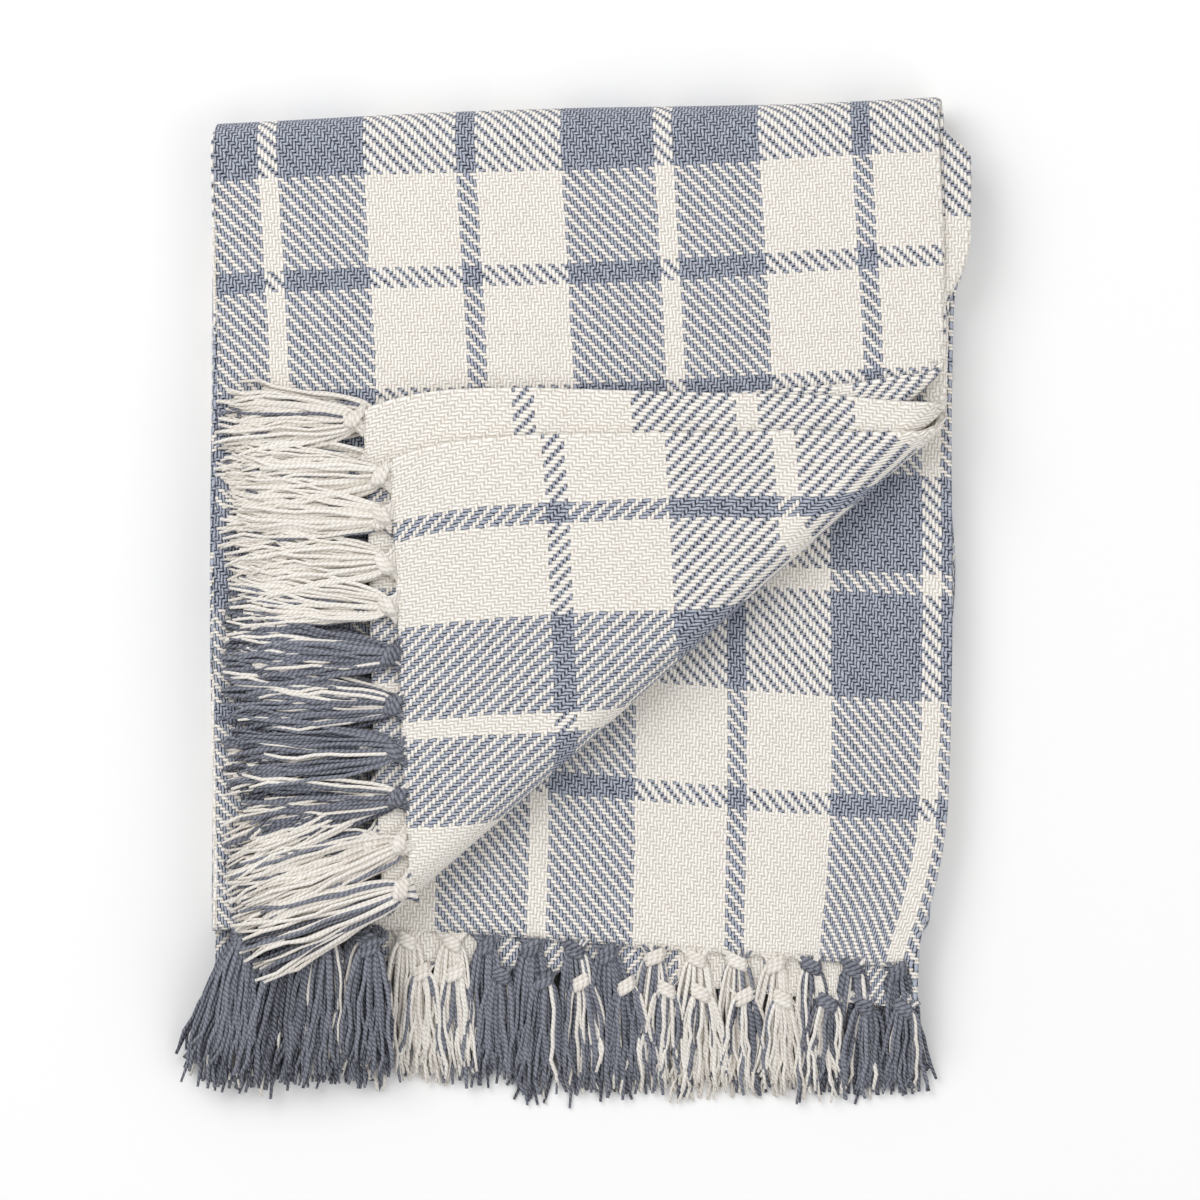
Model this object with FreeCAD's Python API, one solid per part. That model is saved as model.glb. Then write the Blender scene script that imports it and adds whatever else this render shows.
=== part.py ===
import FreeCAD, Part
import math
import os

from FreeCAD import Vector

os.makedirs("parts", exist_ok=True)

# A throw blanket folded into eight leaves of two cloth plies each, with one corner folded back.
# Lengths in mm. X across, Y towards the top crease, Z up, origin under the middle of the pile.

# Pile of leaves
leaf_pitch = 4.0                # height of one leaf, two plies of cloth
leaf_gap = 0.1                  # air between leaves that move together
joint_gap = 0.3                 # air between leaves that move apart
leaves_per_half = 4
half_height = leaf_pitch * leaves_per_half
corner_leaves = 3               # leaves whose corner is folded back, counted from the top
corner_height = 2 * half_height

# Outline of the leaves, lowest leaf first
left_edge = -163.5
rear_right_edges = [174.0, 171.5, 169.5, 167.5]
front_right_edges = [167.0, 163.5, 162.0, 160.6]
rear_end = -142.0               # centre of the lengthwise fold at the fringed end
front_ends = [-152.0, -148.0, -147.0, -146.0]
lower_ply_end = -165.0          # fringed edge of the lowest front ply
corner_round = 9.0

# Top crease, the hinge of the front half; it rises a little to the right and lies
# half_height inside the edge
crease_tilt = math.radians(2.0)
crease_top = 226.0              # its outer edge at the right edge of the lowest leaf

# Diagonal crease, the hinge of the folded corner; it lies fold_radius inside the edge
fold_x, fold_y = 37.5, -17.5    # a point of the hinge, in the middle of the crease
fold_angle = math.radians(46.0)
fold_radius = leaf_pitch * corner_leaves
flap_left_tops = [(-84.0, 95.0), (-100.0, 89.0), (-82.0, 66.0)]
flap_right_tops = [101.0, 95.0, 75.0]
flap_feet = [-78.0, -80.0, -74.0]

# Fringe
tassel_pitch = 19.2
tassels_per_row = 17
first_tassel_x = -153.6
left_tassels = 4                # tassels per row to the left of the folded corner
flap_tassels = 10
flap_tassel_pitch = 20.6
row_pitch = 1.85                # height from one row of tassels to the next
tassel_thickness = 1.6
knot_length, knot_width, neck_width, tip_width = 9.0, 10.0, 6.0, 15.0
hang_y = -176.0                 # where the tassels start to slope down
tip_y = -226.0
row_shortening = 1.5            # each higher row ends this much earlier
spread = 12.9                   # how far the leftmost tassel leans outwards
flap_tassel_length = 62.0


def crease_y(x, inside):
    """Y of the line `inside` the outer edge of the top crease."""
    at_middle = crease_top - rear_right_edges[0] * math.tan(crease_tilt)
    return at_middle + x * math.tan(crease_tilt) - inside / math.cos(crease_tilt)


def on_fold(along, inside):
    """Plan point `along` the diagonal hinge and `inside` of it, on the flap's side."""
    x = fold_x + along * math.cos(fold_angle) - inside * math.sin(fold_angle)
    y = fold_y + along * math.sin(fold_angle) + inside * math.cos(fold_angle)
    return (x, y)


def along_at_x(x, inside):
    return (x - fold_x + inside * math.sin(fold_angle)) / math.cos(fold_angle)


def along_at_y(y, inside):
    return (y - fold_y - inside * math.cos(fold_angle)) / math.sin(fold_angle)


def plate(outline, z_low, z_high, rounded=()):
    """Flat plate over the plan points; the corners numbered in `rounded` are rounded off."""
    points = [Vector(x, y, z_low) for x, y in outline]
    solid = Part.Face(Part.makePolygon(points + points[:1])).extrude(Vector(0, 0, z_high - z_low))
    corners = [points[i] for i in rounded]
    upright = [
        edge
        for edge in solid.Edges
        if any(math.hypot(v.X - c.x, v.Y - c.y) < 0.01 for v in edge.Vertexes[:1] for c in corners)
        and abs(edge.Vertexes[0].Z - edge.Vertexes[-1].Z) > 0.5
    ]
    return solid.makeFillet(corner_round, upright) if upright else solid


def roll(start, end, radius, z_centre):
    """Cylinder along the line between two plan points."""
    way = Vector(end[0] - start[0], end[1] - start[1], 0)
    return Part.makeCylinder(radius, way.Length, Vector(start[0], start[1], z_centre), way)


def beside(start, end, right, z_low, z_high):
    """Box along the line between two plan points, on its right side, or on its left side."""
    way = Vector(end[0] - start[0], end[1] - start[1], 0)
    box = Part.makeBox(half_height, way.Length, z_high - z_low)
    box.translate(Vector(0 if right else -half_height, 0, 0))
    heading = math.degrees(math.atan2(way.y, way.x))
    box.Placement = FreeCAD.Placement(
        Vector(start[0], start[1], z_low), FreeCAD.Rotation(Vector(0, 0, 1), heading - 90)
    ).multiply(box.Placement)
    return box


def bend(start, end, z_centre, r_in, r_out, low, high):
    """Rolled cloth edge on the right of the line, between two heights above its centre."""
    ring = roll(start, end, r_out, z_centre)
    if r_in > 0:
        ring = ring.cut(roll(start, end, r_in, z_centre))
    return ring.common(beside(start, end, True, z_centre + low, z_centre + high))


def crease(start, end, z_centre, r_in, r_out, reach):
    """Half turn of a leaf about a hinge line, and the flat start of its way back.

    The way back ends on a cylinder of radius `reach` about the hinge, where the part that
    swings begins.
    """
    way_back = roll(start, end, reach, z_centre)
    way_back = way_back.common(beside(start, end, False, z_centre + r_in, z_centre + r_out))
    return joined([bend(start, end, z_centre, r_in, r_out, -r_out, r_out), way_back])


def swinging(solid, start, end, z_centre, reach):
    """What is left of a leaf outside the cylinder about its hinge."""
    return solid.cut(roll(start, end, reach + joint_gap, z_centre))


def trimmed(solid, right, end):
    """What lies between the left edge, a right edge and a lower end."""
    room = Part.makeBox(right - left_edge, crease_top - end, 2 * corner_height)
    room.translate(Vector(left_edge, end, 0))
    return solid.common(room)


def joined(pieces):
    return pieces[0].multiFuse(pieces[1:]).removeSplitter()


def tassel(flat, fan, drop, lean=0.0):
    """One tassel that points to -Y from the origin: a flat knot and neck, then a sloping fan."""
    knot = [
        (-neck_width / 2, 0),
        (-knot_width / 2, -knot_length * 0.35),
        (-knot_width / 2, -knot_length * 0.7),
        (-neck_width / 2, -knot_length),
        (-neck_width / 2, -flat),
        (neck_width / 2, -flat),
        (neck_width / 2, -knot_length),
        (knot_width / 2, -knot_length * 0.7),
        (knot_width / 2, -knot_length * 0.35),
        (neck_width / 2, 0),
    ]
    corners = [
        Vector(-neck_width / 2, -flat, 0),
        Vector(lean - tip_width / 2, -flat - fan, -drop),
        Vector(lean + tip_width / 2, -flat - fan, -drop),
        Vector(neck_width / 2, -flat, 0),
    ]
    strands = Part.Face(Part.makePolygon(corners + corners[:1]))
    strands = strands.extrude(Vector(0, 0, tassel_thickness))
    return joined([plate(knot, 0, tassel_thickness), strands])


def placed(shape, x, y, z, turn=0.0):
    shape = shape.copy()
    shape.Placement = FreeCAD.Placement(Vector(x, y, z), FreeCAD.Rotation(Vector(0, 0, 1), turn))
    return shape


def save(shape, node):
    shape.exportStep(f"parts/{node}.step")


# Rear leaves: they lie under everything, turn up into the top crease at one end and into their
# own lengthwise fold at the other.
fold_centre = half_height / 2
hinge_right = (rear_right_edges[0], crease_y(rear_right_edges[0], half_height))
hinge_left = (left_edge, crease_y(left_edge, half_height))
for leaf in range(leaves_per_half):
    right = rear_right_edges[leaf]
    z_low = leaf_pitch * leaf
    z_high = z_low + leaf_pitch - leaf_gap
    top_right = (right, crease_y(right, half_height))
    outline = [(left_edge, rear_end), (right, rear_end), top_right, hinge_left]
    r_in, r_out = sorted((abs(z_low - fold_centre), abs(z_high - fold_centre)))
    low, high = (0, r_out) if z_low >= fold_centre else (-r_out, 0)
    leaf_shape = joined([
        plate(outline, z_low, z_high),
        crease(top_right, hinge_left, half_height, half_height - z_high, half_height - z_low,
               half_height),
        bend(outline[0], outline[1], fold_centre, r_in, r_out, low, high),
    ])
    save(trimmed(leaf_shape, right, rear_end - fold_centre), f"rear_leaf_{leaf + 1}")

# Front leaves: the lowest one is whole and shows its two fringed plies, the others turn up into
# the diagonal crease.
for leaf in range(leaves_per_half):
    right = front_right_edges[leaf]
    z_low = half_height + leaf_pitch * leaf + joint_gap
    z_high = half_height + leaf_pitch * (leaf + 1)
    end = front_ends[leaf]
    top_right = (right, crease_y(right, 0))
    top_left = (left_edge, crease_y(left_edge, 0))
    if leaf == 0:
        outline = [(left_edge, end), (right, end), top_right, top_left]
        lower = [(left_edge, lower_ply_end), (right, lower_ply_end), (right, end), (left_edge, end)]
        leaf_shape = joined([
            plate(outline, z_low, z_high),
            plate(lower, z_low, z_low + tassel_thickness, rounded=[0, 1]),
        ])
    else:
        foot = on_fold(along_at_y(end, 0), 0)
        head = on_fold(along_at_x(right, 0), 0)
        leaf_shape = joined([
            plate([(left_edge, end), foot, head, top_right, top_left], z_low, z_high),
            crease(foot, head, corner_height, corner_height - z_high, corner_height - z_low,
                   fold_radius),
        ])
        leaf_shape = trimmed(leaf_shape, right, end)
    leaf_shape = leaf_shape.cut(beside(hinge_right, hinge_left, True, half_height, corner_height))
    leaf_shape = swinging(leaf_shape, hinge_right, hinge_left, half_height, half_height)
    save(leaf_shape, f"front_leaf_{leaf + 1}")

# Corner leaves: the folded-back corners, lowest first, lying on the top leaf.
corner_hinge = [on_fold(-260, 0), on_fold(260, 0)]
for leaf in range(corner_leaves):
    z_low = corner_height + leaf_pitch * leaf + joint_gap
    z_high = corner_height + leaf_pitch * (leaf + 1) - joint_gap
    foot = on_fold(along_at_x(flap_feet[leaf], 0), 0)
    head = on_fold(along_at_y(flap_right_tops[leaf], 0), 0)
    leaf_shape = plate([flap_left_tops[leaf], foot, head], z_low, z_high, rounded=[0])
    leaf_shape = swinging(leaf_shape, *corner_hinge, corner_height, fold_radius)
    save(leaf_shape, f"corner_leaf_{leaf + 1}")


def tassel_x(number):
    return first_tassel_x + tassel_pitch * number


def hanging_tassel(number, row, head_y):
    """A tassel at the bottom edge; rows are counted upwards from the lowest ply."""
    slope = half_height / (hang_y - tip_y)
    fan = hang_y - tip_y - row_shortening * row
    lean = -spread * max(0.0, 1 - number / left_tassels)
    shape = tassel(head_y - hang_y, fan, slope * fan, lean)
    leaf, ply = divmod(row, 2)
    z_low = half_height + leaf_pitch * leaf + joint_gap + row_pitch * ply
    return placed(shape, tassel_x(number), head_y, z_low)


def fringe_band(head_y, row, x_low, x_high):
    """Narrow cloth edge that holds a whole row of tassels together."""
    leaf, ply = divmod(row, 2)
    z_low = half_height + leaf_pitch * leaf + joint_gap + row_pitch * ply
    outline = [(x_low, head_y - 2), (x_high, head_y - 2), (x_high, head_y), (x_low, head_y)]
    return plate(outline, z_low, z_low + tassel_thickness)


# Bottom fringe of the lowest front leaf: the row of its lower ply and the row above it.
lower_row = [hanging_tassel(i, 0, lower_ply_end) for i in range(tassels_per_row)]
lower_row.append(fringe_band(lower_ply_end, 0, left_edge, tassel_x(tassels_per_row - 1)))
save(joined(lower_row), "lower_fringe")
for i in range(tassels_per_row):
    save(hanging_tassel(i, 1, front_ends[0]), f"front_tassel_{i + 1:02d}")

# Left fringe: what is left of the six upper rows beside the folded corner.
for row in range(2, 2 * leaves_per_half - 1):
    head_y = front_ends[row // 2]
    left_row = [hanging_tassel(i, row, head_y) for i in range(left_tassels)]
    left_row.append(fringe_band(head_y, row, left_edge, tassel_x(left_tassels - 1)))
    save(joined(left_row), f"left_fringe_{row - 1}")
top_row = 2 * leaves_per_half - 1
for i in range(left_tassels):
    save(hanging_tassel(i, top_row, front_ends[-1]), f"left_tassel_{i + 1}")


def flap_tassel(number, row):
    """A tassel at the fringed edge of the flap, pointing left; rows are counted upwards."""
    leaf, ply = divmod(row, 2)
    x_top, y_top = flap_left_tops[leaf]
    foot = on_fold(along_at_x(flap_feet[leaf], 0), 0)
    y = y_top - 8.0 - flap_tassel_pitch * number
    x = x_top + (foot[0] - x_top) * (y_top - y) / (y_top - foot[1])
    z_low = corner_height + leaf_pitch * leaf + joint_gap + row_pitch * ply
    shape = tassel(2 * knot_length, flap_tassel_length - 2 * knot_length, 0)
    shape = placed(shape, x - joint_gap, y, z_low, -90)
    return swinging(shape, *corner_hinge, corner_height, fold_radius)


def flap_band(row):
    """Narrow cloth edge along the fringed edge of the flap."""
    leaf, ply = divmod(row, 2)
    top = flap_left_tops[leaf]
    foot = on_fold(along_at_x(flap_feet[leaf], 0), 0)
    z_low = corner_height + leaf_pitch * leaf + joint_gap + row_pitch * ply
    inner, outer = joint_gap, joint_gap + 2
    outline = [(top[0] - outer, top[1]), (foot[0] - outer, foot[1]),
               (foot[0] - inner, foot[1]), (top[0] - inner, top[1])]
    band = plate(outline, z_low, z_low + tassel_thickness)
    return swinging(band, *corner_hinge, corner_height, fold_radius)


# Flap fringe: five rows under the row that shows.
flap_top_row = 2 * corner_leaves - 1
for row in range(flap_top_row):
    flap_row = [flap_tassel(i, row) for i in range(flap_tassels)]
    flap_row.append(flap_band(row))
    save(joined(flap_row), f"flap_fringe_{row + 1}")
for i in range(flap_tassels):
    save(flap_tassel(i, flap_top_row), f"flap_tassel_{i + 1:02d}")
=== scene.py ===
import math

import bmesh
import bpy
import numpy as np
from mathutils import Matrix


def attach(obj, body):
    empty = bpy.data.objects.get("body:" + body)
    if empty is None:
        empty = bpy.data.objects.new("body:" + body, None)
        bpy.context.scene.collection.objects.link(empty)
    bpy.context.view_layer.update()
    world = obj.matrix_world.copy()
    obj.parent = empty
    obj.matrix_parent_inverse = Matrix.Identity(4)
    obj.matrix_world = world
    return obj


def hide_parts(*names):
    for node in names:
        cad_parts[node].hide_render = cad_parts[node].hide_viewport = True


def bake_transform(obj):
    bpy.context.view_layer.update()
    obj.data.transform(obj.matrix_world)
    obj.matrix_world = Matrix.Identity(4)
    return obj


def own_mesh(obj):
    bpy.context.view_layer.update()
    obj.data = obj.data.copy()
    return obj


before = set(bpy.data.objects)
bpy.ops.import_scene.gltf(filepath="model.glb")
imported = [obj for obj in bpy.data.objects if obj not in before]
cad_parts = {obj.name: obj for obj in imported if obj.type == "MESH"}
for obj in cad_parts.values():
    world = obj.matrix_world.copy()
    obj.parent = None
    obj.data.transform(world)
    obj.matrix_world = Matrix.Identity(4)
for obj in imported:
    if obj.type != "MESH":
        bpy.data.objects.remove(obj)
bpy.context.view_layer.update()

# Studio: a pale floor, a broad soft light from above on each side, and a long lens that looks
# straight down on the folded throw with its top crease away from it.
floor_mesh = bpy.data.meshes.new("studio_floor")
floor_mesh.from_pydata([(-3, -3, 0), (3, -3, 0), (3, 3, 0), (-3, 3, 0)], [], [(0, 1, 2, 3)])
studio_floor = bpy.data.objects.new("studio_floor", floor_mesh)
bpy.context.collection.objects.link(studio_floor)
floor_paint = bpy.data.materials.new("floor_paint")
floor_paint.use_nodes = True
floor_paint.node_tree.nodes["Principled BSDF"].inputs["Base Color"].default_value = (0.93, 0.93, 0.93, 1)
floor_paint.node_tree.nodes["Principled BSDF"].inputs["Roughness"].default_value = 0.9
floor_mesh.materials.append(floor_paint)

studio_world = bpy.data.worlds.new("studio_world")
studio_world.use_nodes = True
studio_world.node_tree.nodes["Background"].inputs["Color"].default_value = (1.0, 1.0, 1.0, 1)
studio_world.node_tree.nodes["Background"].inputs["Strength"].default_value = 0.62
bpy.context.scene.world = studio_world
bpy.context.scene.view_settings.view_transform = "Standard"

for light_name, place, power, size in (
    ("soft_light_left", (-1.1, 1.0, 1.7), 26.0, 1.6),
    ("soft_light_right", (1.3, -0.7, 1.7), 11.0, 1.8),
):
    lamp = bpy.data.lights.new(light_name, "AREA")
    lamp.energy = power
    lamp.size = size
    light = bpy.data.objects.new(light_name, lamp)
    light.location = place
    way = np.array(place) / np.linalg.norm(place)
    light.rotation_euler = (math.acos(way[2]), 0, math.atan2(way[1], way[0]) + math.pi / 2)
    bpy.context.collection.objects.link(light)

lens = bpy.data.cameras.new("overhead_camera")
lens.lens = 200.0
lens.clip_end = 20.0
overhead_camera = bpy.data.objects.new("overhead_camera", lens)
overhead_camera.location = (0.0093, 0.0002, 3.0)
bpy.context.collection.objects.link(overhead_camera)
bpy.context.scene.camera = overhead_camera


# Plaid cloth: thick soft yarn in dusty blue and cream, woven in a two-by-two twill. The stripe
# order of 124 yarns is the same in warp and weft, so broad squares and narrow lines cross.
stripe_yarns = 124
stripe_order = [(0, 0.0), (28, 1.0), (34, 0.0), (62, 1.0), (90, 0.0), (96, 1.0)]
warp_pitch = 1.424              # mm from one warp yarn to the next
border_yarn = -62.0             # below this weft yarn the cloth ends in a plain cream border
twill_repeat = 4.0              # yarns in one repeat of the two-by-two twill
warp_over = 2.36                # how many of them a warp float covers, bulging past the two it crosses
# The top colours are the yarns' own colours on the crests of the floats; the two darker colours below are
# painted shade for the low parts of the weave, where yarns dip under their neighbours.
blue_top = (0.450, 0.484, 0.575, 1)
blue_painted_shade = (0.016, 0.018, 0.032, 1)
cream_top = (0.95, 0.925, 0.875, 1)
cream_painted_shade = (0.64, 0.58, 0.51, 1)


def maths(tree, operation, *values):
    """Math node fed with sockets or plain numbers."""
    step = tree.nodes.new("ShaderNodeMath")
    step.operation = operation
    for socket, value in zip(step.inputs, values):
        if isinstance(value, bpy.types.NodeSocket):
            tree.links.new(value, socket)
        else:
            socket.default_value = value
    return step.outputs[0]


def mixed(tree, share, first, second):
    """Colour between two colours, by a share from 0 to 1."""
    step = tree.nodes.new("ShaderNodeMix")
    step.data_type = "RGBA"
    sockets = [step.inputs["Factor"], step.inputs[6], step.inputs[7]]
    for socket, value in zip(sockets, (share, first, second)):
        if isinstance(value, bpy.types.NodeSocket):
            tree.links.new(value, socket)
        else:
            socket.default_value = value
    return step.outputs[2]


def noise(tree, vector, scale, detail=2.0):
    """Noise from 0 to 1 over a place in metres."""
    step = tree.nodes.new("ShaderNodeTexNoise")
    step.inputs["Scale"].default_value = scale
    step.inputs["Detail"].default_value = detail
    tree.links.new(vector, step.inputs["Vector"])
    return step.outputs["Fac"]


def hill(tree, position):
    """Rounded profile over a position from 0 to 1: nothing at both ends, 1 in the middle."""
    centred = maths(tree, "MULTIPLY_ADD", position, 2.0, -1.0)
    return maths(tree, "SUBTRACT", 1.0, maths(tree, "MULTIPLY", centred, centred))


def stripe(tree, yarn):
    """0 on a blue yarn and 1 on a cream one, by the yarn's number in the stripe order."""
    place = maths(tree, "DIVIDE", maths(tree, "FLOORED_MODULO", yarn, stripe_yarns), stripe_yarns)
    ramp = tree.nodes.new("ShaderNodeValToRGB")
    ramp.color_ramp.interpolation = "CONSTANT"
    stops = ramp.color_ramp.elements
    while len(stops) < len(stripe_order):
        stops.new(1.0)
    for stop, (first_yarn, tone) in zip(stops, stripe_order):
        stop.position = first_yarn / stripe_yarns
        stop.color = (tone, tone, tone, 1)
    tree.links.new(place, ramp.inputs["Fac"])
    return ramp.outputs["Color"]


def plaid_twill():
    """Twill drawn from the yarn numbers in the map "yarns": each crossing shows the warp or the
    weft by the sum of the two numbers, and each float is round across and along."""
    cloth = bpy.data.materials.new("plaid_twill")
    cloth.use_nodes = True
    tree = cloth.node_tree
    shader = tree.nodes["Principled BSDF"]
    place = tree.nodes.new("ShaderNodeTexCoord").outputs["Object"]
    yarns = tree.nodes.new("ShaderNodeUVMap")
    yarns.uv_map = "yarns"
    split = tree.nodes.new("ShaderNodeSeparateXYZ")
    tree.links.new(yarns.outputs["UV"], split.inputs["Vector"])
    fibre = noise(tree, place, 1500.0, 3.0)
    melange = noise(tree, place, 420.0, 1.0)

    # Yarns wander by up to half a pitch over some centimetres, and their rims are uneven.
    drift = noise(tree, place, 60.0)
    across = maths(tree, "ADD", split.outputs["X"], maths(tree, "MULTIPLY_ADD", drift, 0.9, -0.45))
    across = maths(tree, "MULTIPLY_ADD", maths(tree, "SUBTRACT", melange, 0.5), 0.7, across)
    sway = noise(tree, place, 75.0)
    along = maths(tree, "ADD", split.outputs["Y"], maths(tree, "MULTIPLY_ADD", sway, 0.9, -0.45))
    along = maths(tree, "MULTIPLY_ADD", maths(tree, "SUBTRACT", fibre, 0.5), 0.6, along)

    warp_yarn = maths(tree, "FLOOR", across)
    weft_yarn = maths(tree, "FLOOR", along)
    warp_start = maths(tree, "ADD", maths(tree, "ADD", warp_yarn, along), 0.18)
    warp_float = maths(tree, "FLOORED_MODULO", warp_start, twill_repeat)
    weft_float = maths(tree, "FLOORED_MODULO", maths(tree, "ADD", across, weft_yarn), twill_repeat)
    warp_up = maths(tree, "LESS_THAN", warp_float, warp_over)
    warp_round = hill(tree, maths(tree, "FRACT", across))
    warp_long = hill(tree, maths(tree, "DIVIDE", warp_float, warp_over))
    weft_round = hill(tree, maths(tree, "FRACT", along))
    weft_long = hill(tree, maths(tree, "MULTIPLY_ADD", weft_float, 0.5, -1.0))
    warp_height = maths(tree, "MULTIPLY", warp_round, maths(tree, "MULTIPLY_ADD", warp_long, 0.5, 0.5))
    weft_height = maths(tree, "MULTIPLY", weft_round, maths(tree, "MULTIPLY_ADD", weft_long, 0.45, 0.4))
    difference = maths(tree, "SUBTRACT", warp_height, weft_height)
    height = maths(tree, "MAXIMUM", 0.0, maths(tree, "MULTIPLY_ADD", difference, warp_up, weft_height))
    tone_warp = stripe(tree, warp_yarn)
    border = maths(tree, "LESS_THAN", along, border_yarn)
    tone_weft = mixed(tree, border, stripe(tree, weft_yarn), (1, 1, 1, 1))
    tone = mixed(tree, warp_up, tone_weft, tone_warp)

    # High yarns take the top colour and low ones a painted shade colour, darker where the floats dip
    # between their neighbours, with the fibres' own mottle.
    lit = maths(tree, "MULTIPLY_ADD", height, 1.85, -0.47)
    lit = maths(tree, "ADD", lit, maths(tree, "MULTIPLY_ADD", fibre, 1.0, -0.5))
    lit = maths(tree, "ADD", lit, maths(tree, "MULTIPLY_ADD", melange, 0.7, -0.35))
    clamp = tree.nodes.new("ShaderNodeClamp")
    tree.links.new(lit, clamp.inputs["Value"])
    top_colour = mixed(tree, tone, blue_top, cream_top)
    # Painted shade colour for the low parts of the weave.
    painted_shade_colour = mixed(tree, tone, blue_painted_shade, cream_painted_shade)
    tree.links.new(mixed(tree, clamp.outputs[0], painted_shade_colour, top_colour), shader.inputs["Base Color"])
    shader.inputs["Roughness"].default_value = 0.92
    shader.inputs["Specular IOR Level"].default_value = 0.2
    shader.inputs["Sheen Weight"].default_value = 0.12

    # Relief of the yarns over the cloth's own slow swell.
    relief = tree.nodes.new("ShaderNodeBump")
    relief.inputs["Distance"].default_value = 0.0005
    relief.inputs["Strength"].default_value = 0.7
    tree.links.new(maths(tree, "MULTIPLY_ADD", fibre, 0.35, height), relief.inputs["Height"])
    swell = tree.nodes.new("ShaderNodeBump")
    swell.inputs["Distance"].default_value = 0.0022
    swell.inputs["Strength"].default_value = 0.6
    tree.links.new(noise(tree, place, 14.0, 1.5), swell.inputs["Height"])
    tree.links.new(swell.outputs["Normal"], relief.inputs["Normal"])
    tree.links.new(relief.outputs["Normal"], shader.inputs["Normal"])
    return cloth


plaid = plaid_twill()

# Long leaves: the four double leaves that lie under everything, turn up round the top crease and
# come back over themselves. Each leaf is one length of cloth folded along its right edge, and
# the plies of neighbouring leaves are one piece round the left edge.
half_height = 16.0              # mm, level of the hinge of the top crease
ply_thickness = 1.75
left_edge = -163.0              # of every leaf
front_edges = [166.5, 163.5, 162.0, 160.6]  # right edges, lowest front leaf first
rear_end = -142.0               # where the rear leaves turn round each other
cream_line = 31                 # yarn in the middle of the narrow cream line
seam_y = 119.0                  # where a long leaf meets the part that carries the fringe
run_in = 8.0                    # how far a left fold reaches under the next leaf

# The stripes of each leaf: x and y of a crossing of two narrow cream lines, the slants of the
# warp and the weft lines, and the weft pitch. The leaf's lower ply goes on round its right edge.
stripe_places = {
    1: (-19.8, 17.6, 0.0, -4.0, 1.62),
    2: (106.1, 27.0, 0.0, 0.0, 1.656),
    3: (110.0, 21.7, 0.0, 0.0, 1.60),
    4: (42.8, 51.2, 2.3, 2.3, 1.54),
}


def ease(value):
    """Smooth step from 0 to 1 for a value that passes from 0 to 1."""
    held = np.clip(value, 0, 1)
    return held * held * (3 - 2 * held)


def crease_y(x):
    """Middle line of the rolled top crease, which leans two degrees."""
    return 203.914 + 0.03492 * x


crease_right = crease_y(160.0)  # level of the top crease at the right edge


def pile_right(y):
    """Right edge of the whole pile: drawn in at the top crease, bulging below it, drawn in again
    where the pile is pressed, full at mid height and narrower towards the fringed end."""
    edge = 163.0 - 12.0 * ease((y - 196.0) / 14.0) - 6.0 * ease((-100.0 - y) / 45.0)
    edge = edge + 5.0 * ease((y - 84.0) / 16.0) + 5.5 * ease((y - 132.0) / 30.0)
    return edge + 4.8 * np.exp(-(((y - 12.0) / 44.0) ** 2))


def rear_right(leaf, y):
    """Right edge of a rear leaf, a little uneven: the lowest is the outermost."""
    return pile_right(y) - 0.5 * (leaf - 1) + 0.5 * np.sin(y / 31.0 + 1.7 * leaf) - 0.5


def front_right(leaf, y):
    """Right edge of a front leaf, straight where its corner folds back; below the top crease the
    leaves under the top one bulge out to the edge of the pile."""
    ripple = 0.8 * np.sin(y / 27.0 + 2.1 * leaf) * ease((y - seam_y) / 30.0)
    bulge = pile_right(y) - 0.5 * (3 - leaf) - front_edges[leaf - 1]
    return front_edges[leaf - 1] + ripple + (bulge * ease((y - 130.0) / 18.0) if leaf < 4 else 0.0)


def across_leaf(left, right, leaf, spread, wrap):
    """Columns across a double leaf: x, distance from the hinge level, and cloth coordinate.

    They go along the lower ply to the right edge, round a half circle of 1 mm, and back along
    the upper ply. With wrap 1 they go on round the left edge to the ply above; with wrap -1 they
    come from the ply below.
    """
    low, high = 4.0 * leaf - 3, 4.0 * leaf - 1
    turn = np.linspace(0, math.pi, 7)[None, 1:-1]
    level = np.ones_like(spread)
    short = np.linspace(0, 1, 3)[None, :]
    low_start = left + (run_in + 0.4 if wrap == 1 and leaf > 1 else 0.0)
    high_end = left + (run_in + 0.4 if wrap == -1 and leaf < 4 else 0.0)
    low_x = low_start + (right - low_start) * spread
    high_x = (high_end + (right - high_end) * spread)[:, ::-1]
    whole = level[:, :1]
    parts = [
        (low_x, low * level, 2 * right + math.pi - low_x),
        (right + np.sin(turn), (low + 1 - np.cos(turn)) * whole, right + math.pi - turn * whole),
        (high_x, high * level, high_x),
    ]
    if wrap == 1 and leaf < 4:
        parts += [
            (left - np.sin(turn), (high + 1 - np.cos(turn)) * whole, left - turn * whole),
            (left + run_in * short, (high + 2) * whole * np.ones_like(short),
             left - math.pi - run_in * short * whole),
        ]
    if wrap == -1 and leaf > 1:
        start = 2 * right + math.pi - left
        parts = [
            (left + run_in * short[:, ::-1], (low - 2) * whole * np.ones_like(short),
             start + math.pi + run_in * short[:, ::-1] * whole),
            (left - np.sin(turn), (low - 1 - np.cos(turn)) * whole, start + math.pi - turn * whole),
        ] + parts
    return [np.concatenate([part[i] for part in parts], axis=1) for i in range(3)]


def settled(points):
    """The pile's gentle unevenness: long waves in x, y and z that every ply shares, and that die
    out in height at the two hinge levels and at the floor."""
    x, y, z = points[..., 0], points[..., 1], points[..., 2]
    calm = np.minimum(np.abs(z - 16), np.abs(z - 32)) / 8
    calm = np.clip(calm, 0, 1) * np.clip(z / 10, 0, 1)
    wave = np.sin(x / 41 + 0.6 * np.sin(y / 57)) * np.cos(y / 49 + 0.4) + 0.5 * np.sin((x + y) / 23)
    moved = points.copy()
    moved[..., 0] += 0.8 * np.sin(y / 38 + z / 6)
    moved[..., 1] += 0.9 * np.sin(x / 44 + z / 7)
    moved[..., 2] += 0.55 * wave * calm
    return moved


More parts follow.
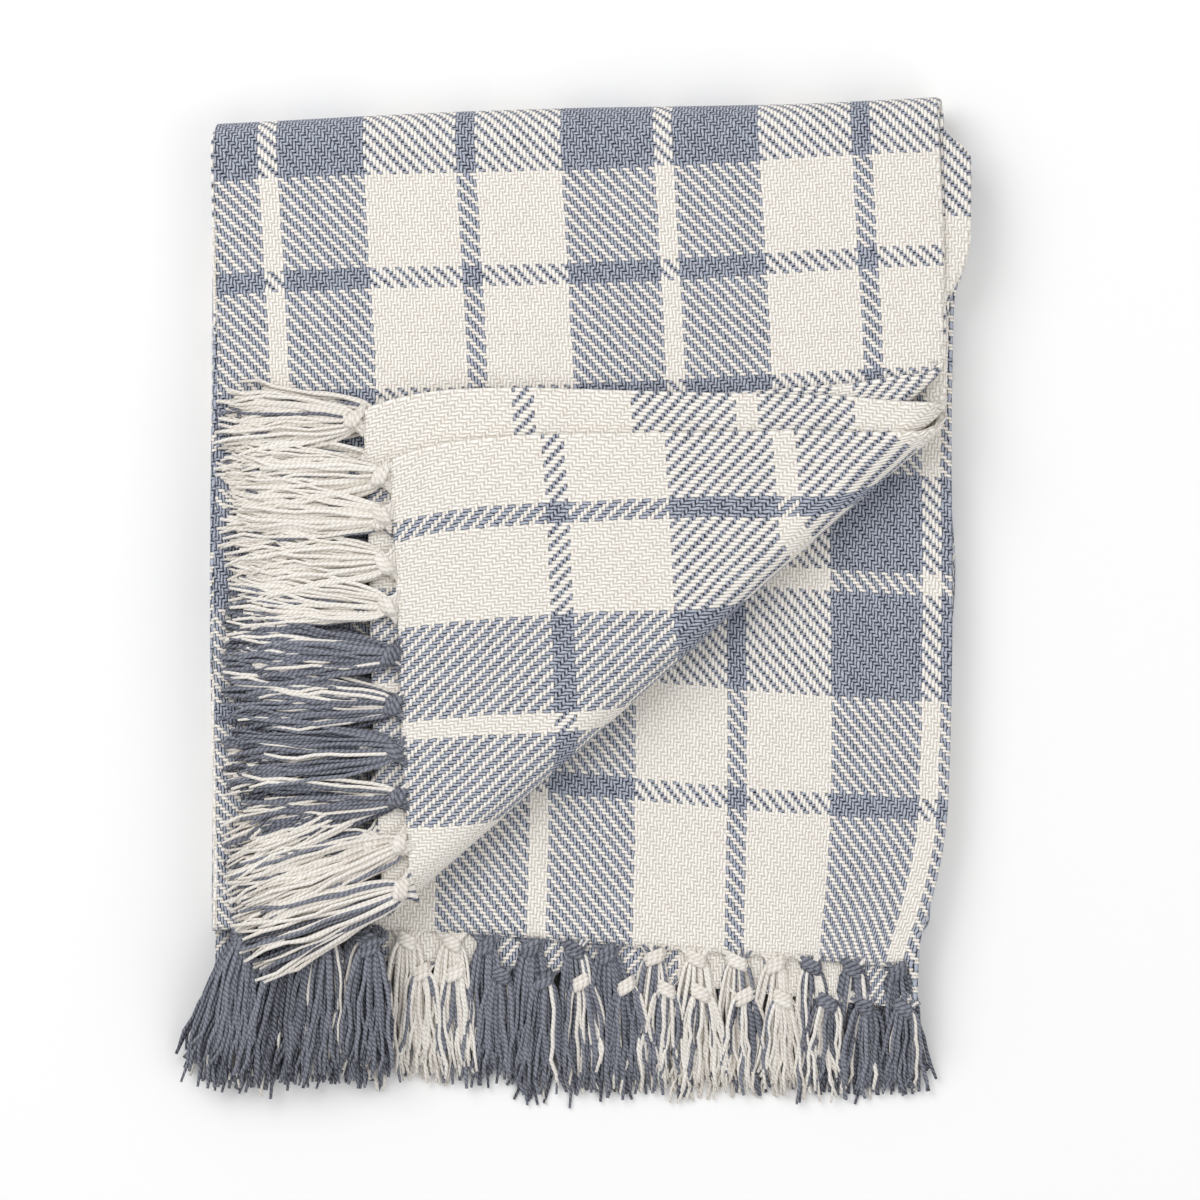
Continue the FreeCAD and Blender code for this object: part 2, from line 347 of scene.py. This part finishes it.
def cloth_piece(name, points, cloth_x, cloth_y, leaf):
    """Sheet from a grid of points in mm: a mesh of one ply's middle with the yarn numbers as its
    map, given its thickness by a modifier. Columns that fall together are merged."""
    rows, columns = points.shape[:2]
    index = np.arange(rows * columns).reshape(rows, columns)
    faces = np.stack([index[:-1, :-1], index[:-1, 1:], index[1:, 1:], index[1:, :-1]], axis=-1)
    mesh = bpy.data.meshes.new(name)
    places = settled(points).reshape(-1, 3) * 0.001
    mesh.from_pydata(places.tolist(), [], faces.reshape(-1, 4).tolist())
    x_cross, y_cross, warp_slant, weft_slant, weft_pitch = stripe_places[leaf]
    from_x, from_y = cloth_x - x_cross, cloth_y - y_cross
    u = cream_line + (from_x + from_y * math.tan(math.radians(warp_slant))) / warp_pitch
    v = cream_line + (from_y - from_x * math.tan(math.radians(weft_slant))) / weft_pitch
    yarns = np.stack([u, v], axis=-1).reshape(-1, 2)
    corner_vertex = np.zeros(len(mesh.loops), dtype=np.int64)
    mesh.loops.foreach_get("vertex_index", corner_vertex)
    mesh.uv_layers.new(name="yarns").data.foreach_set("uv", yarns[corner_vertex].ravel())
    edit = bmesh.new()
    edit.from_mesh(mesh)
    bmesh.ops.remove_doubles(edit, verts=edit.verts, dist=2e-5)
    edit.to_mesh(mesh)
    edit.free()
    mesh.shade_smooth()
    mesh.materials.append(plaid)
    piece = bpy.data.objects.new(name, mesh)
    bpy.context.collection.objects.link(piece)
    thickness = piece.modifiers.new("thickness", "SOLIDIFY")
    thickness.thickness = ply_thickness * 0.001
    thickness.offset = 0.0
    return piece


def long_leaf_grid(leaf):
    """A long leaf swept along its way: a quarter turn at the rear end, flat to the crease, half a
    turn about the hinge line at the ply's own distance from it, and flat to the seam."""
    spread = np.linspace(0, 1, 66)[None, :]
    rear_leaf = 5 - leaf
    grids = []

    def lay(x_right):
        level = np.ones_like(x_right)
        return across_leaf((left_edge + 1) * level, x_right - 1, leaf, spread * level, 1)

    # The rear end's quarter turn, its corner rounded off.
    quarter = np.linspace(0, math.pi / 2, 7)[:-1, None]
    x, rho, cloth_x = lay(rear_right(rear_leaf, rear_end) - 6.0 * (1 - np.sin(quarter)))
    z = half_height - rho
    radius = np.abs(z - half_height / 2)
    cloth_end = 2 * crease_y(x) - rear_end + math.pi * rho
    y = rear_end - radius * np.cos(quarter)
    z = half_height / 2 + (z - half_height / 2) * np.sin(quarter)
    grids.append((x, y, z, cloth_x, cloth_end + radius * (math.pi / 2 - quarter)))

    # Flat to the crease.
    share = np.linspace(0, 1, 78)[:, None]
    y_guess = rear_end + (crease_right - rear_end) * share
    x, rho, cloth_x = lay(rear_right(rear_leaf, y_guess))
    y = rear_end + (crease_y(x) - rear_end) * share
    grids.append((x, y, half_height - rho, cloth_x, 2 * crease_y(x) - y + math.pi * rho))

    # The half turn of the crease.
    turn = np.linspace(0, math.pi, 19)[1:-1, None]
    at_rear = rear_right(rear_leaf, crease_right)
    at_front = front_right(leaf, crease_right)
    x, rho, cloth_x = lay(at_rear + (at_front - at_rear) * ease(turn / math.pi))
    y = crease_y(x) + rho * np.sin(turn)
    z = half_height - rho * np.cos(turn)
    grids.append((x, y, z, cloth_x, crease_y(x) + rho * (math.pi - turn)))

    # Flat to the seam, the last row narrow.
    share = np.append(np.linspace(0, 1, 22)[:-1], [0.996, 1.0])[:, None]
    y_guess = crease_right + (seam_y - crease_right) * share
    x, rho, cloth_x = lay(front_right(leaf, y_guess))
    y = crease_y(x) + (seam_y - crease_y(x)) * share
    grids.append((x, y, half_height + rho, cloth_x, y))
    x, y, z, cloth_x, cloth_y = [np.concatenate([grid[i] for grid in grids]) for i in range(5)]
    return np.stack([x, y, z], axis=-1), cloth_x, cloth_y


for leaf in (1, 2, 3, 4):
    points, cloth_x, cloth_y = long_leaf_grid(leaf)
    long_leaf = cloth_piece(f"long_leaf_{leaf}", points, cloth_x, cloth_y, leaf)
    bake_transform(long_leaf)
    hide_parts(f"rear_leaf_{5 - leaf}")

# Fringed front of the lowest front leaf: whole to its fringed end. Its lower ply reaches further
# down than its upper one and its lower right corner is drawn in.


def front_share(count):
    """Rows from the fringed end to the seam, the last one narrow."""
    return np.append(np.linspace(0, 1, count)[:-1], [0.9985, 1.0])[:, None]


share = front_share(66)
spread = np.linspace(0, 1, 66)[None, :] * np.ones_like(share)
y_guess = -172.0 + (seam_y + 172.0) * share
right = front_right(1, y_guess) - 1
x, rho, cloth_x = across_leaf(left_edge + 1 + 0 * right, right, 1, spread, -1)
upper_end = -148.0 - 0.066 * np.clip(x + 76, 0, None)
lower_end = -163.0 - 0.088 * np.clip(x + 52, 0, None)
end_y = lower_end + (upper_end - lower_end) * (rho - 1) / 2
y = end_y + (seam_y - end_y) * share
drawn_in = 0.025 * np.clip(20.0 - y, 0, None) + 0.0026 * np.clip(-88.0 - y, 0, 60) ** 2
drawn_in = drawn_in + 0.12 * (rho - 1) * np.clip(-148.0 - y, 0, None)
x = x - drawn_in * ease((x - 85.0) / 80.0)
lowest_front = cloth_piece("fringed_leaf_1", np.stack([x, y, half_height + rho], axis=-1), cloth_x, y, 1)
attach(lowest_front, "front_half")
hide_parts("front_leaf_1")

# Folded corners: the other three front leaves lie flat up to a diagonal crease, turn over in it
# and lie back on the top leaf, the lowest leaf outermost. The top one shows as a crescent above
# the other two.
corner_height = 32.0            # mm, level of the hinge of the diagonal crease
fringed_end = -147.0
corner_folds = {
    # leaf: crease point and angle, flap's corner, heading of its side and of its top edge,
    # stretch along the top, swell of the top edge and how far from the corner it is highest
    2: ((38.2, -16.8), 41.3, (-85.0, 61.6), 93.3, 3.2, 1.0, 8.5, 50.0),
    3: ((155.0, 88.0), 41.7, (-96.6, 83.9), 92.5, 0.7, 1.07, 10.0, 60.0),
    4: ((155.0, 100.5), 43.4, (-88.0, 86.0), 92.0, 3.2, 1.0, -3.0, 150.0),
}


def heading(degrees):
    """Plan direction, counted from straight right towards the top crease."""
    return np.array([math.cos(math.radians(degrees)), math.sin(math.radians(degrees))])


class CornerFold:
    """Where the cloth of one leaf goes when its corner is folded back over the crease line."""

    def __init__(self, leaf):
        point, angle, corner, side, top, self.stretch, self.swell, self.highest = corner_folds[leaf]
        self.point, self.corner = np.array(point), np.array(corner)
        self.along, self.inward = heading(angle), heading(angle + 90)
        self.side, self.top = heading(side), heading(top)
        self.right = front_edges[leaf - 1]

    def flap(self, x, y):
        """Plan place on the flap: from its corner, back along its side and along its top."""
        from_side = (x - self.right)[..., None] * self.side
        return self.corner + from_side + ((y - fringed_end) * self.stretch)[..., None] * self.top

    def swollen(self, x, y, back):
        """The flap with its top edge swelling away from the corner: highest at one distance along
        it, fading down the flap and towards the crease."""
        along_top = (y - fringed_end) * self.stretch / self.highest
        rise = self.swell * along_top * np.exp(1 - along_top) * np.exp((x - self.right) / 60)
        rise = rise * ease((x - back) / 35)
        return self.flap(x, y) + rise[..., None] * np.array([0.0, 1.0])

    def crossing(self, y):
        """x where the flat row at y meets the crease line, and x where it comes back over it."""
        away = (self.corner - self.point) @ self.inward
        along_top = (y - fringed_end) * self.stretch * (self.top @ self.inward)
        meets = self.point[0] + (y - self.point[1]) * self.along[0] / self.along[1]
        return meets, self.right - (away + along_top) / (self.side @ self.inward)

    def place(self, x, y, rho):
        """Point of the folded cloth: flat, on the half turn of radius rho, or on the flap. The
        stripes of the flap go on over the upper half of the turn."""
        meets, back = self.crossing(y)
        turned = np.clip((x - meets) / (back - meets), 0, 1)
        angle = math.pi * turned
        flat_along = (np.stack([meets, y], axis=-1) - self.point) @ self.along
        flap_along = (self.flap(back, y) - self.point) @ self.along
        along = flat_along + (flap_along - flat_along) * turned
        outward = -(rho * np.sin(angle))[..., None] * self.inward
        bent = self.point + along[..., None] * self.along + outward
        level = np.where(turned[..., None] <= 0, np.stack([x, y], axis=-1), bent)
        level = np.where(turned[..., None] >= 1, self.swollen(x, y, back), level)
        z = corner_height - rho * np.cos(angle)
        reach = np.hypot(math.pi * rho, flap_along - flat_along)
        flap_y = fringed_end + (y - fringed_end) * self.stretch
        half_x = back - reach / 2
        lower = np.clip(turned * 2, 0, 1)
        cloth_x = np.where(turned < 0.5, meets + (half_x - meets) * lower, back - reach * (1 - turned))
        cloth_x = np.where((turned <= 0) | (turned >= 1), x, cloth_x)
        cloth_y = y + (flap_y - y) * lower
        return np.concatenate([level, z[..., None]], axis=-1), cloth_x - x, cloth_y


def zoned(left, right, meets, back):
    """Shares across each row that give the flat cloth, the turn and the flap their own columns."""
    first = (np.minimum(meets, right) - left) / (right - left)
    second = (np.minimum(back, right) - left) / (right - left)
    flat = np.linspace(0, 1, 52)[None, :-1]
    turn = np.linspace(0, 1, 14)[None, :-1]
    flap = np.linspace(0, 1, 44)[None, :]
    zones = [first * flat, first + (second - first) * turn, second + (1 - second) * flap]
    return np.concatenate(zones, axis=1)


folds = {leaf: CornerFold(leaf) for leaf in corner_folds}
for leaf, fold in folds.items():
    share = front_share(92)
    row_y = fringed_end + (seam_y - fringed_end) * share
    right = front_right(leaf, row_y) - 1
    left = left_edge + 1 + 0 * right
    meets, back = fold.crossing(row_y)
    spread = zoned(left, right, meets, back)
    x, rho, cloth_x = across_leaf(left, right, leaf, spread, -1)
    y = row_y + 0 * x
    points, moved_x, cloth_y = fold.place(x, y, half_height - rho)
    lower_ply = np.where(cloth_x > right + 1.5, -1.0, 1.0)
    cloth_x = cloth_x + moved_x * lower_ply
    folded_leaf = cloth_piece(f"fringed_leaf_{leaf}", points, cloth_x, cloth_y, leaf)
    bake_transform(folded_leaf)
    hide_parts(f"front_leaf_{leaf}", f"corner_leaf_{5 - leaf}")

# Fringe: the warp yarns run on past the woven edge, are tied in overhand knots a few
# millimetres from it, and hang as tassels of plied yarn. Each tassel or row stands for its own CAD node.


def fringe_yarn():
    """Plied yarn: blue or cream by the attribute "cream"; painted shade on the lower yarns of a
    tassel, with random tone, by the second attribute, and painted shade in the grooves of the
    slanting twist lines from the map "twist"."""
    yarn = bpy.data.materials.new("fringe_yarn")
    yarn.use_nodes = True
    tree = yarn.node_tree
    shader = tree.nodes["Principled BSDF"]
    place = tree.nodes.new("ShaderNodeTexCoord").outputs["Object"]
    twist = tree.nodes.new("ShaderNodeUVMap")
    twist.uv_map = "twist"
    split = tree.nodes.new("ShaderNodeSeparateXYZ")
    tree.links.new(twist.outputs["UV"], split.inputs["Vector"])
    slant = maths(tree, "ADD", split.outputs["X"], split.outputs["Y"])
    groove = hill(tree, maths(tree, "FRACT", slant))
    tones = []
    for name in ("cream", "painted_shade_and_tone"):
        reading = tree.nodes.new("ShaderNodeAttribute")
        reading.attribute_name = name
        tones.append(reading.outputs["Fac"])
    fibre = noise(tree, place, 1300.0, 3.0)
    # Painted shade: yarns darker in the grooves of their twist and on the lower yarns of a tassel, with
    # the fibres' own mottle.
    lit = maths(tree, "MULTIPLY_ADD", groove, 0.6, -0.24)
    lit = maths(tree, "ADD", lit, maths(tree, "MULTIPLY", tones[1], 0.6))
    lit = maths(tree, "ADD", lit, maths(tree, "MULTIPLY_ADD", fibre, 0.6, -0.3))
    clamp = tree.nodes.new("ShaderNodeClamp")
    tree.links.new(lit, clamp.inputs["Value"])
    top_colour = mixed(tree, tones[0], (0.315, 0.33, 0.385, 1), (0.955, 0.925, 0.875, 1))
    # The deep colours are painted shade.
    painted_shade_colour = mixed(tree, tones[0], (0.022, 0.022, 0.036, 1), (0.64, 0.58, 0.51, 1))
    tree.links.new(mixed(tree, clamp.outputs[0], painted_shade_colour, top_colour), shader.inputs["Base Color"])
    shader.inputs["Roughness"].default_value = 0.9
    shader.inputs["Specular IOR Level"].default_value = 0.2
    shader.inputs["Sheen Weight"].default_value = 0.1
    relief = tree.nodes.new("ShaderNodeBump")
    relief.inputs["Distance"].default_value = 0.0003
    relief.inputs["Strength"].default_value = 0.6
    tree.links.new(groove, relief.inputs["Height"])
    tree.links.new(relief.outputs["Normal"], shader.inputs["Normal"])
    return yarn


twisted_yarn = fringe_yarn()
yarn_radius = 0.92
strands = 25                    # yarns in one tassel
knot_place = 0.075              # share of the tassel's length where its knot is
twist_length = 2.4              # mm of yarn in one turn of its twist
# Places along a yarn, as shares of the tassel's length, close together near the knot.
strand_steps = np.array([0.0, 0.04, 0.08, 0.14, 0.22, 0.31, 0.41, 0.52, 0.64, 0.76, 0.88, 1.0])
around = np.linspace(0, 2 * math.pi, 6)[:-1]    # five sides of a yarn


def tube(path, radius):
    """Rings of five points about each path: across it in plan and upright. Paths (n, steps, 3),
    radius (n, steps); the rings turn with the path's heading."""
    way = np.gradient(path, axis=1)
    way /= np.linalg.norm(way, axis=-1, keepdims=True) + 1e-9
    side = np.stack([-way[..., 1], way[..., 0], 0 * way[..., 0]], axis=-1)
    side /= np.linalg.norm(side, axis=-1, keepdims=True) + 1e-9
    up = np.cross(way, side)
    ring = np.cos(around)[:, None] * side[:, :, None] + np.sin(around)[:, None] * up[:, :, None]
    return path[:, :, None] + radius[..., None, None] * ring


def skin(rings):
    """Faces round each tube of rings (n, steps, sides) and one cap at each end."""
    n, steps, sides = rings.shape[:3]
    index = np.arange(n * steps * sides).reshape(n, steps, sides)
    ahead = np.roll(index, -1, axis=2)
    walls = np.stack([index[:, :-1], ahead[:, :-1], ahead[:, 1:], index[:, 1:]], axis=-1)
    caps = np.concatenate([index[:, 0, ::-1], index[:, -1]])
    return walls.reshape(-1, 4).tolist() + caps.tolist()


def knot(rng, centre, forward, side, cream):
    """Three loops of yarn round a tassel's yarns, leaning to one side: their rings, cream shares
    and random tones."""
    turn = np.linspace(0.2, 2 * math.pi + 0.5, 10)[None, :]
    loop = np.arange(3)[:, None]
    lean = rng.choice([-1.0, 1.0])
    wide, tall = rng.uniform(3.5, 4.2), rng.uniform(2.2, 2.7)
    ahead = 1.9 * (loop - 1) + lean * 1.7 * np.cos(turn) + rng.uniform(-0.3, 0.3, (3, 1))
    aside = wide * np.cos(turn) * (1 - 0.12 * np.abs(loop - 1))
    upward = 0.4 + tall * np.sin(turn) + 0 * loop
    loops = centre + forward * ahead[..., None] + side * aside[..., None]
    loops = loops + np.array([0, 0, 1.0]) * upward[..., None]
    tone = np.full(3, 1.0 if rng.uniform(0, 1) < cream else 0.0)
    return tube(loops, 1.5 + 0 * ahead), tone, rng.uniform(0.4, 0.8, 3)


def tassel(rng, head, tip, cream, width):
    """One tassel from head to tip, both in mm: yarns come together from the woven edge into the
    knot, then fan out, kink and sink to the tip. Returns the rings, cream shares and shade values
    of the yarns and of the knot's loops: for the yarns painted shade, darker lower in the tassel,
    with random tone; for the loops random tone."""
    head, tip = np.array(head), np.array(tip)
    length = np.linalg.norm((tip - head)[:2])
    forward = np.append((tip - head)[:2] / length, 0)
    side = np.array([-forward[1], forward[0], 0])
    step = strand_steps[None, :]
    order = (np.arange(strands) + 0.5) / strands * 2 - 1 + rng.uniform(-0.12, 0.12, strands)
    rng.shuffle(order)
    travelled = np.where(step > 0.16, 0.16 + (step - 0.16) * rng.uniform(0.80, 1.06, (strands, 1)), step)
    from_edge = np.clip(1 - step / knot_place, 0, 1)
    past_knot = np.clip((step - knot_place) / (1 - knot_place), 0, 1)
    spread = order[:, None] * (width * 0.22 * from_edge + 2.0 + (width * 0.5 - 2.0) * past_knot ** 0.36)
    spread = spread + rng.uniform(-1, 1, (strands, 1)) * 4.0 * past_knot ** 1.7
    for beat, kink in ((1.2, 1.6), (2.9, 0.9)):
        phase = rng.uniform(0, 2 * math.pi, (strands, 1))
        bend = 2 * math.pi * beat * rng.uniform(0.8, 1.2) * step + phase
        spread = spread + kink * past_knot * np.sin(bend)
    layer = rng.uniform(-1, 1, (strands, 1))
    rise = layer * (0.3 + 1.0 * (1 - from_edge) + 0.8 * np.sin(math.pi * past_knot))
    rise = rise + 0.5 * past_knot * np.sin(9 * step + phase)
    sink = ease((travelled - 0.10) / 0.85)
    path = head + forward * (travelled * length)[..., None] + side * spread[..., None]
    path[..., 2] = head[2] + (tip[2] - head[2]) * sink + rise
    path[..., 2] = np.maximum(path[..., 2], yarn_radius)
    thin = np.where(step > 0.99, 0.75, 1.0) * np.ones_like(path[..., 0])
    rings = tube(path, yarn_radius * rng.uniform(0.8, 1.15, (strands, 1)) * thin)
    tone = np.where(rng.uniform(0, 1, strands) < cream, 1.0, 0.0)
    # Yarns lower in the tassel are darker, painted shade, and vary at random in tone.
    painted_shade_and_tone = 0.5 + 0.5 * layer[:, 0] * rng.uniform(0.6, 1, strands)
    centre = head + forward * (knot_place * length)
    return [(rings, tone, painted_shade_and_tone), knot(rng, centre, forward, side, cream)]


def fringe_piece(name, body, nodes, tassels):
    """One object from several tassels, with its twist map and its two yarn attributes."""
    points, faces, cream, painted_shade_and_tone, twist = [], [], [], [], []
    offset = 0
    for rings, tones, painted_shades_and_tones in [part for one in tassels for part in one]:
        n, steps, sides = rings.shape[:3]
        grid = np.indices((n, steps, sides))
        strides = np.diff(rings[:, :, :1], axis=1, prepend=rings[:, :1, :1])
        travelled = np.cumsum(np.linalg.norm(strides, axis=-1), axis=1) + 0.0 * grid[2]
        points.append(rings.reshape(-1, 3))
        faces += [[corner + offset for corner in face] for face in skin(rings)]
        cream.append(np.repeat(tones, steps * sides))
        painted_shade_and_tone.append(np.repeat(painted_shades_and_tones, steps * sides))
        twist.append(np.stack([2 * grid[2] / sides, travelled / twist_length], axis=-1).reshape(-1, 2))
        offset += n * steps * sides
    mesh = bpy.data.meshes.new(name)
    mesh.from_pydata((np.concatenate(points) * 0.001).tolist(), [], faces)
    for label, values in (("cream", cream), ("painted_shade_and_tone", painted_shade_and_tone)):
        stored = mesh.attributes.new(label, "FLOAT", "POINT")
        stored.data.foreach_set("value", np.concatenate(values).astype(np.float32))
    corner_vertex = np.zeros(len(mesh.loops), dtype=np.int64)
    mesh.loops.foreach_get("vertex_index", corner_vertex)
    mesh.uv_layers.new(name="twist").data.foreach_set("uv", np.concatenate(twist)[corner_vertex].ravel())
    mesh.shade_smooth()
    mesh.materials.append(twisted_yarn)
    piece = bpy.data.objects.new(name, mesh)
    bpy.context.collection.objects.link(piece)
    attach(piece, body)
    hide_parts(*nodes)
    return piece


tassel_pitch = 18.2
spread_left = 16.0              # how far the leftmost tassel leans out


def bottom_tassel(rng, number, row, cream):
    """Tassel of the bottom edge; rows are counted upwards from the lowest ply."""
    x = -76.6 + tassel_pitch * (number - 4) + (5.0 if row == 0 else 0.0) + rng.uniform(-2, 2)
    if row == 0:
        y = -163.0 - 0.088 * max(x + 52, 0)
    elif row == 1:
        y = -148.0 - 0.066 * max(x + 76, 0)
    else:
        y = fringed_end - rng.uniform(-2, 4)
    z = half_height + 2.0 * row + 1
    lean = -spread_left * max(0.0, 1 - number / 5) + rng.uniform(-5, 5)
    length = rng.uniform(62, 70) if row else rng.uniform(52, 60)
    tip_y = max(y - length, -225.0) + rng.uniform(0, 5)
    tip_z = 1.6 + 1.7 * row + max(0.0, tip_y + 222) * 0.25
    return tassel(rng, (x, y + 1.0, z), (x + lean, tip_y, tip_z), cream, 23.0)


tassel_random = np.random.default_rng(14)
bottom_cream = [0, 0, 0, 0, 1, 1, 0, 0.05, 0.3, 0.05, 0.65, 1, 0.5, 1, 0.55, 0.05, 0]
lower_cream = [0.1, 0, 0.1, 0.2, 0.8, 0.8, 0.1, 0.1, 0.4, 0.2, 0.6, 0.9, 0.6, 0.9, 0.4, 0.1, 0.1]


lower_row = [bottom_tassel(tassel_random, i, 0, cream) for i, cream in enumerate(lower_cream)]
bottom_row = fringe_piece("lower_fringe_yarns", "front_half", ["lower_fringe"], lower_row)
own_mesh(bottom_row)
for i, cream in enumerate(bottom_cream):
    name, node = f"bottom_tassel_{i + 1:02d}", f"front_tassel_{i + 1:02d}"
    tassels = [bottom_tassel(tassel_random, i, 1, cream)]
    piece = fringe_piece(name, "front_half", [node], tassels)
    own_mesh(piece)
for row in range(2, 7):
    name, node = f"left_fringe_yarns_{row - 1}", f"left_fringe_{row - 1}"
    tassels = [bottom_tassel(tassel_random, i, row, 0.12) for i in range(4)]
    piece = fringe_piece(name, "front_half", [node], tassels)
    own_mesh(piece)
for i in range(4):
    name, node = f"left_top_tassel_{i + 1}", f"left_tassel_{i + 1}"
    tassels = [bottom_tassel(tassel_random, i, 7, 0.0)]
    piece = fringe_piece(name, "front_half", [node], tassels)
    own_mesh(piece)

# Fringe of the folded corners: two rows for each leaf, pointing left from the flap's side.
flap_random = np.random.default_rng(5)
flap_cream = [1, 1, 1, 1, 0.05, 0.2, 0.05, 0.25, 1, 0.8]
flap_droop = [0, 0, 0, 0, 0, 0, 2, 8, 18, 25]   # degrees below straight left, top tassel first


def flap_tassel(rng, number, row, cream):
    """Tassel of the flap's fringed side, pointing left; rows are counted upwards. The lowest two
    belong to the crescent, the next two to the middle corner and the last two to the top one."""
    fold = folds[4 - row // 2]
    down = 5.0 + 20.4 * number + rng.uniform(-1.5, 1.5)
    edge = fold.corner - fold.side * down
    z = corner_height + 1.0 + 2.0 * row
    length = rng.uniform(58, 74) + 4.0 * max(0, number - 6)
    droop = math.radians(-rng.uniform(-7, 7) - flap_droop[number])
    tip = edge + length * np.array([-math.cos(droop), math.sin(droop)])
    tip_x = max(tip[0], rng.uniform(-164, -153))
    tip_z = corner_height + 1.6 + 0.9 * row - 0.4 * max(0.0, -150 - tip[1])
    return tassel(rng, (edge[0] + 1.0, edge[1], z), (tip_x, tip[1], tip_z), cream, 24.0)


for row in range(5):
    name, node = f"flap_fringe_yarns_{row + 1}", f"flap_fringe_{row + 1}"
    tassels = [flap_tassel(flap_random, i, row, 0.06 + 0.86 * cream) for i, cream in enumerate(flap_cream)]
    piece = fringe_piece(name, "folded_corner", [node], tassels)
    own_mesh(piece)
for i, cream in enumerate(flap_cream):
    name, node = f"flap_top_tassel_{i + 1:02d}", f"flap_tassel_{i + 1:02d}"
    tassels = [flap_tassel(flap_random, i, 5, cream)]
    piece = fringe_piece(name, "folded_corner", [node], tassels)
    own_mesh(piece)
